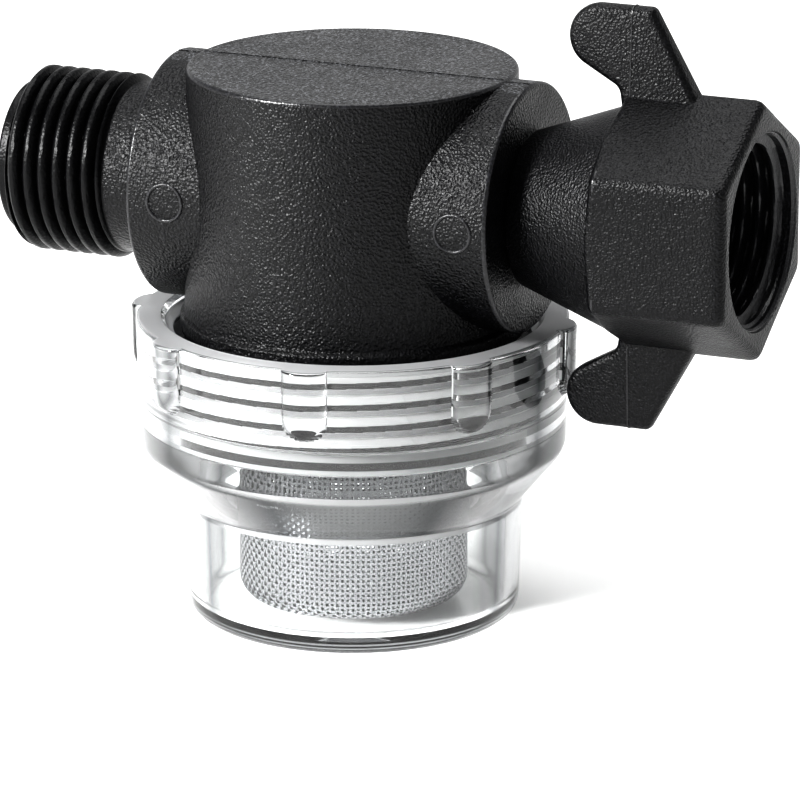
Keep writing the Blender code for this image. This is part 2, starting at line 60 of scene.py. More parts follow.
bodyLow, bodyHigh = nodeBox("strainer_body")
bowlHigh = nodeBox("clear_bowl")[1]
nutLow, nutHigh = nodeBox("wing_nut")
sealLow, sealHigh = nodeBox("bowl_o_ring")
screenLow, screenHigh = nodeBox("screen_mesh_cup")
rimLow, rimHigh = nodeBox("screen_rim_ring")
splitLow, splitHigh = nodeBox("nut_retaining_ring")
washerLow, washerHigh = nodeBox("outlet_washer")
spinJoint = next(joint for joint in frame["joints"] if joint["name"] == "wing_nut_spin")
pipeHeight = spinJoint["pos_m"][2] / mm
ringTop = bowlHigh[2]
touchGap = 0.3
skirtEnd = sealHigh[2] + touchGap

fits = {
    "pipePitch": 25.4 / 14,     # half-inch pipe thread, 14 turns to the inch
    "bowlPitch": 2.5,           # coarse thread between skirt and bowl
    "ridgeStart": 1.4,
    "skirtRoot": 19.4,
    "skirtCrest": 20.9,
    "bowlRoot": 21.3,
    "bowlDepth": 0.9,
    "onWall": 0.02,             # a face or row this close to a radius belongs to it
}


def softProfile(corners, steps=5):
    # Each corner (a, b, radius) becomes an arc tangent to both of its sides: the arc's centre lies on the
    # corner's bisector, and its points turn evenly from one tangent point to the other.
    corners = np.array(corners, float)
    spots, radii = corners[:, :2], corners[:, 2]
    back, ahead = np.roll(spots, 1, 0) - spots, np.roll(spots, -1, 0) - spots
    backLength, aheadLength = np.linalg.norm(back, axis=1), np.linalg.norm(ahead, axis=1)
    back, ahead = back / backLength[:, None], ahead / aheadLength[:, None]
    half = np.arccos(np.clip((back * ahead).sum(1), -1, 1)) / 2
    reach = np.minimum(radii / np.tan(half), 0.48 * np.minimum(backLength, aheadLength))
    radii = reach * np.tan(half)
    middle = back + ahead
    middle = middle / np.maximum(np.linalg.norm(middle, axis=1), 1e-9)[:, None]
    centre = spots + middle * (radii / np.sin(half))[:, None]
    start, end = spots + back * reach[:, None] - centre, spots + ahead * reach[:, None] - centre
    turn = (np.pi - 2 * half)[:, None]
    share = np.linspace(0, 1, steps + 1)[None, :]
    scale = np.maximum(np.sin(turn), 1e-6)
    first, last = np.sin((1 - share) * turn) / scale, np.sin(share * turn) / scale
    arcs = centre[:, None] + first[..., None] * start[:, None] + last[..., None] * end[:, None]
    points = arcs.reshape(-1, 2)
    keep = np.r_[True, np.linalg.norm(np.diff(points, axis=0), axis=1) > 1e-4]
    return points[keep]


def divided(profile, spacing):
    # Each straight leg is cut into equal parts no longer than spacing.
    legs = np.diff(profile, axis=0)
    counts = np.maximum(1, np.ceil(np.linalg.norm(legs, axis=1) / spacing)).astype(int)
    leg = np.repeat(np.arange(len(legs)), counts)
    step = np.arange(counts.sum()) - np.repeat(np.cumsum(counts) - counts, counts)
    return np.vstack([profile[leg] + legs[leg] * (step / counts[leg])[:, None], profile[-1:]])


def gridFaces(rows, columns, closeRows, closeColumns):
    # Quad (i, j) joins rows i, i+1 and columns j, j+1, and counts on from the last to the first where closed.
    i = np.arange(rows if closeRows else rows - 1)[:, None]
    j = np.arange(columns if closeColumns else columns - 1)[None, :]
    nextI, nextJ = (i + 1) % rows, (j + 1) % columns
    corners = (i * columns + j, i * columns + nextJ, nextI * columns + nextJ, nextI * columns + j)
    return np.stack(np.broadcast_arrays(*corners), axis=-1).reshape(-1, 4)


def signedVolume(points, faces):
    # Sum over each face's fan of triangles of the triple product of its corners, over six.
    first, fanA, fanB = points[faces[:, :1]], points[faces[:, 1:-1]], points[faces[:, 2:]]
    return (first * np.cross(fanA, fanB)).sum() / 6


def gridShape(points, closeRows=False):
    # Rows of closed loops: the loops are joined by quads, and the first and last loop are filled unless
    # the rows close too. Faces are turned round if the volume they hold comes out negative.
    rows, columns = points.shape[:2]
    flat = points.reshape(-1, 3)
    faces = [gridFaces(rows, columns, closeRows, True)]
    if not closeRows:
        loop = np.arange(columns)[None, :]
        faces += [loop[:, ::-1], loop + (rows - 1) * columns]
    if sum(signedVolume(flat, group) for group in faces) < 0:
        faces = [group[:, ::-1] for group in faces]
    return {"points": flat, "faces": faces}


def turnedZ(profile, columns, bump=None, closed=False):
    # Point = (r cos a, r sin a, h), with r and h from the profile and bump(r, h, a) added to r.
    angle = 2 * np.pi * np.arange(columns)[None, :] / columns if np.isscalar(columns) else columns[None, :]
    radius, height = profile[:, :1], profile[:, 1:]
    if bump is not None:
        radius = radius + bump(radius, height, angle)
    points = np.stack(np.broadcast_arrays(radius * np.cos(angle), radius * np.sin(angle), height), axis=-1)
    return gridShape(points, closed)


def turnedX(profile, columns, bump=None, closed=False):
    # Point = (x, r sin a, pipe height + r cos a), with r and x from the profile and bump(r, x, a) added to r.
    angle = 2 * np.pi * np.arange(columns)[None, :] / columns
    radius, station = profile[:, :1], profile[:, 1:]
    if bump is not None:
        radius = radius + bump(radius, station, angle)
    across, up = radius * np.sin(angle), pipeHeight + radius * np.cos(angle)
    points = np.stack(np.broadcast_arrays(station, across, up), axis=-1)
    return gridShape(points, closed)


def threadWave(phase, crestShare, rootShare):
    # Triangle wave that is 1 at whole phases, with a share of each turn cut flat at crest and root.
    height = np.abs(2 * np.mod(phase, 1) - 1)
    return np.clip((height - rootShare) / (1 - crestShare - rootShare), 0, 1)


def eased(share):
    # Smooth step from 0 to 1: three times the share squared, less twice the share cubed.
    share = np.clip(share, 0, 1)
    return share * share * (3 - 2 * share)


def boxShape(low, high):
    # Eight corners from the low to the high corner, as two loops of four.
    x, y, z = np.array([low, high], float).T
    loop = np.array([[x[0], y[0]], [x[1], y[0]], [x[1], y[1]], [x[0], y[1]]])
    return gridShape(np.stack([np.column_stack([loop, np.full(4, level)]) for level in z]))


def meshObject(name, shapes):
    # One mesh of several shapes: each shape's corners are numbered on from the points before it.
    points = np.concatenate([shape["points"] for shape in shapes]) * mm
    starts = np.cumsum([0] + [len(shape["points"]) for shape in shapes])
    groups = [group + start for shape, start in zip(shapes, starts) for group in shape["faces"]]
    corners = np.concatenate([group.ravel() for group in groups]).astype(np.int32)
    sizes = np.concatenate([np.full(len(group), group.shape[1]) for group in groups])
    mesh = bpy.data.meshes.new(name)
    mesh.vertices.add(len(points))
    mesh.vertices.foreach_set("co", points.astype(np.float32).ravel())
    mesh.loops.add(len(corners))
    mesh.loops.foreach_set("vertex_index", corners)
    mesh.polygons.add(len(sizes))
    mesh.polygons.foreach_set("loop_start", (np.cumsum(sizes) - sizes).astype(np.int32))
    mesh.update(calc_edges=True)
    mesh.validate()
    made = bpy.data.objects.new(name, mesh)
    bpy.context.scene.collection.objects.link(made)
    return made


def carved(piece, changes):
    # Booleans in order, worked out once; the helper solids are then removed.
    for operation, shapes in changes:
        helper = meshObject(piece.name + "_helper", shapes)
        change = piece.modifiers.new(operation, "BOOLEAN")
        change.operation, change.solver, change.object = operation, "MANIFOLD", helper
    graph = bpy.context.evaluated_depsgraph_get()
    finished = bpy.data.meshes.new_from_object(piece.evaluated_get(graph))
    helpers = [change.object for change in piece.modifiers]
    piece.modifiers.clear()
    piece.data = finished
    for helper in helpers:
        bpy.data.objects.remove(helper)
    return piece


def faceMiddles(piece):
    # Middle of every face in millimetres, and its normal.
    values = np.zeros((2, len(piece.data.polygons) * 3), np.float32)
    piece.data.polygons.foreach_get("center", values[0])
    piece.data.polygons.foreach_get("normal", values[1])
    return values[0].reshape(-1, 3) / mm, values[1].reshape(-1, 3)


def setLooks(piece, numbers):
    # Each face takes the look that its number counts to.
    piece.data.polygons.foreach_set("material_index", numbers.astype(np.int32))


def finished(piece, looks, body, nodes, slot, sharp=38):
    # Smooth shading, broken where two faces meet at more than the sharp angle, in degrees.
    piece.data.shade_smooth()
    piece.data.set_sharp_from_angle(angle=math.radians(sharp))
    piece.data.materials.clear()
    for look in looks:
        piece.data.materials.append(look)
    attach(piece, body)
    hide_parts(*nodes)
    print(piece.name, len(piece.data.vertices), "points")


def hexColor(text):
    # sRGB to linear: a straight line near black, a power of 2.4 above it.
    parts = np.array([int(text[start:start + 2], 16) for start in (1, 3, 5)]) / 255
    linear = np.where(parts <= 0.04045, parts / 12.92, ((parts + 0.055) / 1.055) ** 2.4)
    return (*linear.tolist(), 1.0)


def addNode(tree, kind, settings, links=()):
    # settings: sockets by name or attributes of the node; links: (own socket, other node, its output)
    made = tree.nodes.new(kind)
    for key, value in settings.items():
        if key in made.inputs:
            made.inputs[key].default_value = value
        else:
            setattr(made, key, value)
    for socket, other, output in links:
        tree.links.new(other.outputs[output], made.inputs[socket])
    return made


def newLook(name):
    # A material, its nodes, its shader and the object's own coordinates in metres.
    look = bpy.data.materials.new(name)
    look.use_nodes = True
    shader = look.node_tree.nodes["Principled BSDF"]
    place = addNode(look.node_tree, "ShaderNodeTexCoord", {})
    return look, look.node_tree, shader, place


mottle = {
    "pitRatio": 1.25,           # pits to pebbles
    "patch": 7,                 # how far apart the duller patches lie, in millimetres
    "patchLow": 0.3, "patchHigh": 0.7,
    "tintLow": 0.52, "tintHigh": 0.64,
    "bending": 1.53,            # refractive index of nylon 66
}


def mouldedNylon(name, grain):
    # Black glass-filled nylon 66, moulded in a spark-eroded tool: pebbled pits a third of a millimetre
    # across that glitter where each one mirrors the light, over a soft black sheen.
    look, tree, shader, place = newLook(name)
    pebbles = addNode(tree, "ShaderNodeTexNoise",
                      {"Scale": 1 / (grain["size"] * mm), "Detail": 2.0, "Roughness": 0.55},
                      [("Vector", place, "Object")])
    pits = addNode(tree, "ShaderNodeTexVoronoi",
                   {"feature": "SMOOTH_F1", "Scale": 1 / (grain["size"] * mottle["pitRatio"] * mm),
                    "Smoothness": 0.2},
                   [("Vector", place, "Object")])
    height = addNode(tree, "ShaderNodeMath", {"operation": "ADD"},
                     [(0, pebbles, "Fac"), (1, pits, "Distance")])
    bump = addNode(tree, "ShaderNodeBump", {"Strength": 1.0, "Distance": grain["depth"] * mm},
                   [("Height", height, "Value")])
    tree.links.new(bump.outputs["Normal"], shader.inputs["Normal"])
    patches = addNode(tree, "ShaderNodeTexNoise", {"Scale": 1 / (mottle["patch"] * mm), "Detail": 4.0},
                      [("Vector", place, "Object")])
    sheen = addNode(tree, "ShaderNodeMapRange",
                    {"From Min": mottle["patchLow"], "From Max": mottle["patchHigh"],
                     "To Min": grain["smooth"], "To Max": grain["dull"]},
                    [("Value", patches, "Fac")])
    tree.links.new(sheen.outputs["Result"], shader.inputs["Roughness"])
    tint = addNode(tree, "ShaderNodeValToRGB", {}, [("Fac", pebbles, "Fac")])
    for stop, share, tone in zip(tint.color_ramp.elements, ("tintLow", "tintHigh"), ("dark", "light")):
        stop.position, stop.color = mottle[share], hexColor(grain[tone])
    tree.links.new(tint.outputs["Color"], shader.inputs["Base Color"])
    shader.inputs["IOR"].default_value = mottle["bending"]
    shader.inputs["Specular IOR Level"].default_value = grain["shine"]      # pits swallow some gloss
    return look


blacks = {
    "body": {"size": 0.27, "depth": 0.11, "smooth": 0.26, "dull": 0.38, "shine": 0.27, "dark": "#030304",
             "light": "#141417"},
    # The top copy is painted lighter, as light falling on the flat top, over a coarser grain.
    "top": {"size": 0.30, "depth": 0.20, "smooth": 0.28, "dull": 0.40, "shine": 0.34, "dark": "#050506",
            "light": "#5e5f62"},
    # The edge copy is a painted highlight: a lighter nylon for rims, the top's brim, raised marks, the nut's
    # inner thread and the wings' parting line.
    "edge": {"size": 0.27, "depth": 0.03, "smooth": 0.26, "dull": 0.34, "shine": 0.5, "dark": "#0e0e10",
             "light": "#242428"},
    "nut": {"size": 0.24, "depth": 0.08, "smooth": 0.28, "dull": 0.40, "shine": 0.24, "dark": "#030304",
            "light": "#141417"},
    "thread": {"size": 0.28, "depth": 0.03, "smooth": 0.26, "dull": 0.38, "shine": 0.18, "dark": "#040405",
               "light": "#0a0a0c"},
}
bodyLook = mouldedNylon("nylon_spark_eroded", blacks["body"])
topLook = mouldedNylon("nylon_coarse_eroded_painted_lit_top", blacks["top"])
edgeLook = mouldedNylon("nylon_painted_edge_highlight", blacks["edge"])
nutLook = mouldedNylon("nylon_fine_eroded", blacks["nut"])
threadLook = mouldedNylon("nylon_turned_core", blacks["thread"])


# Finishes of the bowl: how much light goes straight through, how rough it is and how much it is dimmed.
# The last finish is painted shade: a near-black tint for the dark lines at the thread's root windows and the
# seal's contact line.
clears = {
    "polished": {"through": 1.0, "roughness": 0.012, "shade": 1.0},
    "faint_satin": {"through": 0.68, "roughness": 0.05, "shade": 0.9},
    "satin": {"through": 0.5, "roughness": 0.35, "shade": 0.62},
    "painted_dark_lines": {"through": 1.0, "roughness": 0.012, "shade": 0.03},
}


def clearMoulding(finish):
    # Polycarbonate moulded in a polished tool: water clear, with painted shade in its colour where the eye
    # looks along a wall: a dark band at half facing and dark outlines at the silhouettes stand in for dark
    # refractions. Flow lines far too shallow to feel bend the reflections a little. Satin tool faces veil
    # what is behind.
    look, tree, shader, place = newLook("polycarbonate_" + finish)
    through, roughness, shade = clears[finish].values()
    flow = addNode(tree, "ShaderNodeTexNoise", {"Scale": 1 / (9 * mm), "Detail": 2.0},
                   [("Vector", place, "Object")])
    bump = addNode(tree, "ShaderNodeBump", {"Strength": 0.25, "Distance": 0.05 * mm},
                   [("Height", flow, "Fac")])
    tree.links.new(bump.outputs["Normal"], shader.inputs["Normal"])
    # Painted shade: a colour ramp on how squarely a face is seen darkens a band at half facing and the
    # silhouettes.
    facing = addNode(tree, "ShaderNodeLayerWeight", {"Blend": 0.5})
    edges = addNode(tree, "ShaderNodeValToRGB", {}, [("Fac", facing, "Facing")])
    tones = [(0.0, "#fbfcfc"), (0.34, "#f6f7f7"), (0.52, "#45484b"), (0.68, "#ececed"), (0.84, "#dfe0e2"),
             (0.94, "#6d7072"), (1.0, "#4a4c4e")]
    for position, tone in tones[1:-1]:
        edges.color_ramp.elements.new(position)
    for stop, (position, tone) in zip(edges.color_ramp.elements, tones):
        stop.position, stop.color = position, [part * shade for part in hexColor(tone)[:3]] + [1.0]
    tree.links.new(edges.outputs["Color"], shader.inputs["Base Color"])
    shader.inputs["Transmission Weight"].default_value = through
    shader.inputs["Roughness"].default_value = roughness
    shader.inputs["IOR"].default_value = 1.585
    shader.inputs["Specular IOR Level"].default_value = 0.12
    depth = addNode(tree, "ShaderNodeVolumeAbsorption", {"Color": hexColor("#c9cbcc"), "Density": 40.0})
    tree.links.new(depth.outputs["Volume"], tree.nodes["Material Output"].inputs["Volume"])
    return look


def mouldedRubber():
    # Nitrile rubber, moulded and tumbled: dull black with a faint bloom.
    look, tree, shader, place = newLook("nitrile_rubber_moulded")
    bloom = addNode(tree, "ShaderNodeTexNoise", {"Scale": 1 / (1.2 * mm), "Detail": 4.0},
                    [("Vector", place, "Object")])
    dull = addNode(tree, "ShaderNodeMapRange", {"To Min": 0.42, "To Max": 0.65}, [("Value", bloom, "Fac")])
    tree.links.new(dull.outputs["Result"], shader.inputs["Roughness"])
    bump = addNode(tree, "ShaderNodeBump", {"Strength": 0.5, "Distance": 0.02 * mm},
                   [("Height", bloom, "Fac")])
    tree.links.new(bump.outputs["Normal"], shader.inputs["Normal"])
    shader.inputs["Base Color"].default_value = hexColor("#0b0b0c")
    return look


def drawnSteel(name, color, roughness):
    # Stainless steel 304, drawn or rolled and pickled: bright, with fine scratches along its length.
    look, tree, shader, place = newLook(name)
    scratches = addNode(tree, "ShaderNodeTexNoise", {"Scale": 1 / (0.25 * mm), "Detail": 3.0},
                        [("Vector", place, "Object")])
    wear = addNode(tree, "ShaderNodeMapRange", {"To Min": roughness - 0.08, "To Max": roughness + 0.1},
                   [("Value", scratches, "Fac")])
    tree.links.new(wear.outputs["Result"], shader.inputs["Roughness"])
    shader.inputs["Base Color"].default_value = hexColor(color)
    shader.inputs["Metallic"].default_value = 1.0
    return look


def turnedAcetal():
    # Natural acetal, turned: milky white with a soft gloss and fine tool marks.
    look, tree, shader, place = newLook("acetal_natural")
    marks = addNode(tree, "ShaderNodeTexNoise", {"Scale": 1 / (0.4 * mm), "Detail": 2.0},
                    [("Vector", place, "Object")])
    bump = addNode(tree, "ShaderNodeBump", {"Strength": 0.4, "Distance": 0.02 * mm},
                   [("Height", marks, "Fac")])
    tree.links.new(bump.outputs["Normal"], shader.inputs["Normal"])
    shader.inputs["Base Color"].default_value = hexColor("#e4e2da")
    shader.inputs["Roughness"].default_value = 0.38
    return look


clearLook, veiledLook, satinLook, pressedLook = [clearMoulding(finish) for finish in clears]
rubberLook = mouldedRubber()
wireLook = drawnSteel("stainless_wire_woven", "#a2a3a5", 0.22)
rimLook = drawnSteel("stainless_strip_pressed", "#d8d8d6", 0.30)
acetalLook = turnedAcetal()
print("materials made")


# Strainer body, in millimetres: outside sizes first, then the hollow inside, then rows and columns.
strainer = {
    "drumRadius": 19.1, "drumDraft": 0.45, "beadProud": 0.5, "beadHeight": 1.1, "flareHeight": 0.6,
    "edge": 0.45,
    "bossRadius": 14.1, "bossFace": 21.75, "neckRadius": 9.7, "neckStart": -27.1,
    "pipeCrest": 10.6, "pipeRoot": 9.5, "leadRadius": 8.8, "leadLength": 1.2,
    "tailRadius": 7.2, "grooveRadius": 6.5, "chamberRadius": 16.6, "roof": 3.0,
    "ductRadius": 7.5, "boreRadius": 5.6, "inletBore": 6.9, "spigotRadius": 12.2,
    "spigotTop": 26.4, "markRadius": 2.1, "markWire": 0.2, "markPlaces": (-16.9, 17.8),
    "markFlat": 0.9, "markBand": 0.4, "flashHalfWidth": 0.09, "flashRise": 0.07, "flashSink": 0.1,
    "flashShort": 0.9, "bossFlashShort": 0.4, "corner": 0.3, "topRing": 4, "beadStep": 0.15,
    "beadUndercut": 0.4, "leadRound": 0.4, "leadStep": 0.2, "neckStep": 0.1,
    "crestShare": 0.25, "rootShare": 0.06, "fadeIn": 0.7, "fadeOut": 0.9, "fadePast": 0.5,
    "skirtShare": 0.2, "skirtFade": 0.8, "skirtFoot": 0.2, "skirtHead": 0.5,
    "chamberRing": 3, "chamberRound": 1.0, "chamberDrop": 4, "webRise": 1.2, "overlap": 0.3, "pass": 1,
    "postRise": 0.8, "shoulderRise": 4.5, "shoulderRound": 1.5, "spigotRound": 0.4, "spigotWall": 1.9,
    "inletDepth": -12.0, "drumSpacing": 0.12, "pipeSpacing": 0.14, "drumSkip": 12, "pipeSkip": 8,
    "drumColumns": 256, "pipeColumns": 192, "postColumns": 128, "boreColumns": 96,
    "wallFoot": 2, "wallHead": 1, "bossRows": 0.6, "levelTilt": 0.97, "edgeTilt": 0.15, "bodyReach": 40,
    "markSkin": 0.01, "edgeSkin": 0.05, "topSkin": 0.1,
}


def pipeThread(radius, station, angle):
    # Crest height times the square root of the wave, which fattens the crests, fading at both ends.
    s = strainer
    start, end = bodyLow[0] + s["leadLength"], s["neckStart"]
    phase = station / fits["pipePitch"] + angle / (2 * np.pi)
    wave = np.sqrt(threadWave(phase, s["crestShare"], s["rootShare"]))
    fade = eased((station - start) / s["fadeIn"]) * eased((end + s["fadePast"] - station) / s["fadeOut"])
    return (s["pipeCrest"] - s["pipeRoot"]) * wave * fade


def skirtPhase(height, angle):
    # Whole numbers lie along the middle of the skirt's ridge.
    return (height - skirtEnd - fits["ridgeStart"]) / fits["bowlPitch"] - angle / (2 * np.pi)


def skirtThread(radius, height, angle):
    # Ridge height times the wave, fading at both ends of the skirt.
    s = strainer
    top = ringTop - s["beadHeight"]
    wave = threadWave(skirtPhase(height, angle), s["skirtShare"], s["skirtShare"])
    fade = (eased((height - skirtEnd - s["skirtFoot"]) / s["skirtFade"])
            * eased((top - s["skirtHead"] - height) / s["skirtFade"]))
    return (fits["skirtCrest"] - fits["skirtRoot"]) * wave * fade


def markRing(place):
    # Raised ring wrapped on the boss: u and w are the ring's own circle, u along the pipe and w round it.
    s, columns, sides = strainer, 48, 10
    around = 2 * np.pi * np.arange(columns)[:, None] / columns
    section = 2 * np.pi * np.arange(sides)[None, :] / sides
    reach = s["markRadius"] + s["markWire"] * np.cos(section)
    radius = s["bossRadius"] + s["markWire"] * np.sin(section) * s["markFlat"]
    turn = -np.pi / 2 + reach * np.sin(around) / s["bossRadius"]
    points = np.stack(np.broadcast_arrays(place + reach * np.cos(around), radius * np.sin(turn),
                                          pipeHeight + radius * np.cos(turn)), axis=-1)
    return gridShape(points, True)


def makeStrainerBody():
    # Drum turned about the upright axis, joined with a line turned about the pipe axis, then hollowed.
    s = strainer
    top, bead, corner = bodyHigh[2], s["drumRadius"] + s["beadProud"], s["corner"]
    beadFoot = ringTop - s["beadHeight"]
    drum = divided(softProfile([
        (s["drumRadius"] - s["topRing"], top, 0), (s["drumRadius"] - s["drumDraft"], top, s["edge"]),
        (s["drumRadius"], ringTop + s["flareHeight"], corner), (bead, ringTop + s["beadStep"], corner),
        (bead, beadFoot, corner), (fits["skirtRoot"], beadFoot - s["beadUndercut"], 0),
        (fits["skirtRoot"], skirtEnd, corner), (s["spigotRadius"], skirtEnd, 0),
    ]), s["drumSpacing"])
    tall = (drum[:, 1] > ringTop + s["wallFoot"]) & (drum[:, 1] < top - s["wallHead"])
    drum = drum[~tall | (np.arange(len(drum)) % s["drumSkip"] == 0)]     # plain wall needs few rows
    body = meshObject("strainer_body_moulding", [turnedZ(drum, s["drumColumns"], skirtThread)])

    leadEnd = bodyLow[0] + s["leadLength"]
    grooveLow, grooveHigh = splitLow[0] - touchGap, splitHigh[0] + touchGap
    line = divided(softProfile([
        (s["inletBore"], bodyLow[0], 0), (s["leadRadius"], bodyLow[0], s["leadRound"]),
        (s["leadRadius"], leadEnd, 0), (s["pipeRoot"], leadEnd + corner, s["leadStep"]),
        (s["pipeRoot"], s["neckStart"] - s["neckStep"], 0),
        (s["neckRadius"], s["neckStart"] + corner, corner),
        (s["neckRadius"], -s["bossFace"], 0), (s["bossRadius"], -s["bossFace"], s["edge"]),
        (s["bossRadius"], s["bossFace"], s["edge"]), (s["tailRadius"], s["bossFace"], 0),
        (s["tailRadius"], grooveLow, 0), (s["grooveRadius"], grooveLow, 0),
        (s["grooveRadius"], grooveHigh, 0), (s["tailRadius"], grooveHigh, 0),
        (s["tailRadius"], bodyHigh[0], corner), (s["boreRadius"], bodyHigh[0], 0),
    ]), s["pipeSpacing"])
    plain = line[:, 1] > s["neckStart"] + 1
    nearFace = np.abs(np.abs(line[:, 1]) - s["bossFace"]) < s["bossRows"]
    line = line[~plain | (np.arange(len(line)) % s["pipeSkip"] == 0) | nearFace]
    pipe = turnedX(line, s["pipeColumns"], pipeThread)

    roof, low, over = top - s["roof"], skirtEnd - s["chamberDrop"], s["overlap"]
    ringInner = s["chamberRadius"] - s["chamberRing"]
    chamber = softProfile([(ringInner, roof, 0), (s["chamberRadius"], roof, s["chamberRound"]),
                           (s["chamberRadius"], low, 0), (ringInner, low, 0)])
    web = boxShape((0, over - s["ductRadius"], pipeHeight),
                   (s["chamberRadius"] + s["pass"], s["ductRadius"] - over, roof + s["webRise"]))
    tube = turnedX(np.array([(s["ductRadius"], 0.0), (s["ductRadius"], s["chamberRadius"] + s["webRise"])]),
                   s["boreColumns"])
    post = turnedZ(softProfile([
        (s["ductRadius"] + over, roof + s["postRise"], 0),
        (s["ductRadius"] + over, s["spigotTop"] + s["shoulderRise"], s["shoulderRound"]),
        (s["spigotRadius"], s["spigotTop"], s["spigotRound"]),
        (s["spigotRadius"], bodyLow[2], s["spigotRound"]), (s["boreRadius"], bodyLow[2], 0),
    ]), s["postColumns"])
    rise = turnedZ(np.array([(s["boreRadius"] + over, pipeHeight), (s["boreRadius"] + over, s["spigotTop"]),
                             (s["spigotRadius"] - s["spigotWall"], bodyLow[2] - over)]), s["boreColumns"])
    outletLine = [(s["boreRadius"], -s["boreRadius"]), (s["boreRadius"], bodyHigh[0] + s["pass"])]
    outlet = turnedX(np.array(outletLine), s["boreColumns"])
    inletLine = [(s["inletBore"], bodyLow[0] - s["pass"]), (s["inletBore"], s["inletDepth"])]
    inlet = turnedX(np.array(inletLine), s["boreColumns"])
    half, lift, sink = s["flashHalfWidth"], s["flashRise"], s["flashSink"]
    bossTop, bossShort = pipeHeight + s["bossRadius"], s["bossFlashShort"]
    flashes = [boxShape((s["flashShort"] - s["drumRadius"], -half, top - sink),
                        (s["drumRadius"] - s["flashShort"], half, top + lift)),
               boxShape((bossShort - s["bossFace"], -half, bossTop - bossShort),
                        (s["bossFace"] - bossShort, half, bossTop + lift))]
    chamberHole = turnedZ(chamber, s["postColumns"])
    carved(body, [("UNION", [pipe]), ("DIFFERENCE", [chamberHole]), ("UNION", [web]),
                  ("UNION", [tube]), ("UNION", [post]), ("DIFFERENCE", [rise]), ("DIFFERENCE", [outlet]),
                  ("DIFFERENCE", [inlet])] + [("UNION", [flash]) for flash in flashes]
           + [("UNION", [markRing(place)]) for place in s["markPlaces"]])
    finished(body, [bodyLook, threadLook, topLook, edgeLook], "housing", ["strainer_body"], "body_black")
    middles, normals = faceMiddles(body)
    x, y, z = middles.T
    neck = (x > s["neckStart"] + s["fadePast"]) & (x < 0)
    threads = ((np.abs(x) > s["bossFace"] + fits["onWall"]) & ~neck) | (z < beadFoot)
    reach = np.hypot(y, z - pipeHeight)
    # Painted light: the flat top takes the lighter copy, as if lit from above.
    onTop = (z > top - s["edge"] - s["topSkin"]) & (normals[:, 2] > s["levelTilt"])
    along = np.min([np.hypot(x - place, z - pipeHeight) for place in s["markPlaces"]], axis=0)
    marks = ((np.abs(along - s["markRadius"]) < s["markBand"])
             & (reach > s["bossRadius"] + s["markSkin"]) & (y < 0))
    # Painted highlights: boss rims, the top's brim and the raised marks take the lighter edge copy.
    tilted = (np.abs(normals) > s["edgeTilt"]) & (np.abs(normals) < s["levelTilt"])
    rims = (np.abs(np.abs(x) - s["bossFace"]) < s["edge"] + s["edgeSkin"]) & tilted[:, 0]
    brim = (z > top - s["edge"] - s["edgeSkin"]) & tilted[:, 2] & (normals[:, 2] > 0)
    edges = (rims | brim | (marks & (np.hypot(x, y) < s["bodyReach"]))) & ~onTop
    setLooks(body, np.where(edges, 3, np.where(onTop, 2, threads)))


makeStrainerBody()


# Clear bowl, in millimetres, with the ribs' first bearing in radians.
bowl = {
    "ringRadius": 24.6, "ringDraft": 0.3, "ringFoot": 20.0, "shoulderRound": 2.8, "cupTop": 14.0,
    "cupRadius": 19.4, "cupDraft": 0.5, "cupWall": 1.7, "floor": 1.8, "baseRound": 2.0, "edge": 0.5,
    "ribCount": 8, "ribHalf": 2.6, "ribProud": 1.22, "ribLength": 8.1,
    "ribPhase": math.radians(-79.6), "sealLine": 0.9, "rootLine": 0.68, "ribFrom": 22.5, "ribBlend": 1.5,
    "ridgeShare": 0.06, "gapShare": 0.3, "fade": 0.7, "threadFoot": 0.8, "threadHead": 0.7,
    "axisHole": 2.0, "cupRound": 0.5, "mouthWidth": 0.5, "mouthRound": 0.15, "mouthDepth": 0.5,
    "seatOuter": 20.05, "seatTop": 0.3, "seatBlend": 0.2, "seatFoot": 0.3, "seatEdge": 0.4,
    "innerRound": 1.2, "ribRows": 24.2, "ribAbove": 3, "rowSpacing": 0.05, "rowSkip": 18, "sharp": 30,
    "facesIn": 0.3, "facesUp": 0.8, "squareOn": 0.9, "rimSkin": 0.1, "seatAbove": 0.7, "flankFrom": 20.1,
    "windowFoot": 1.2, "windowHead": 1, "blend": 0.2, "cupBlend": 0.4,
}


def bowlRelief(radius, height, angle):
    # Outside, ribs: half ellipse across, half ball at the foot. Inside, the thread: ridges half a pitch
    # away from the skirt's, with 45 degree flanks.
    b = bowl
    sector = 2 * np.pi / b["ribCount"]
    bearing = np.mod(angle - b["ribPhase"] + sector / 2, sector) - sector / 2
    offset = bearing * b["ringRadius"] / b["ribHalf"]
    below = np.maximum(0, ringTop - b["ribLength"] + b["ribHalf"] - height) / b["ribHalf"]
    rib = b["ribProud"] * np.sqrt(np.maximum(0, 1 - offset ** 2 - below ** 2))
    outer = np.clip((radius - b["ribFrom"]) / b["ribBlend"], 0, 1)
    wave = threadWave(skirtPhase(height, angle) + 0.5, b["ridgeShare"], b["gapShare"])
    fade = (eased((height - skirtEnd - b["threadFoot"]) / b["fade"])
            * eased((ringTop - b["threadHead"] - height) / b["fade"]))
    inner = (np.abs(radius - fits["bowlRoot"]) < fits["onWall"])
    return rib * outer - fits["bowlDepth"] * wave * fade * inner


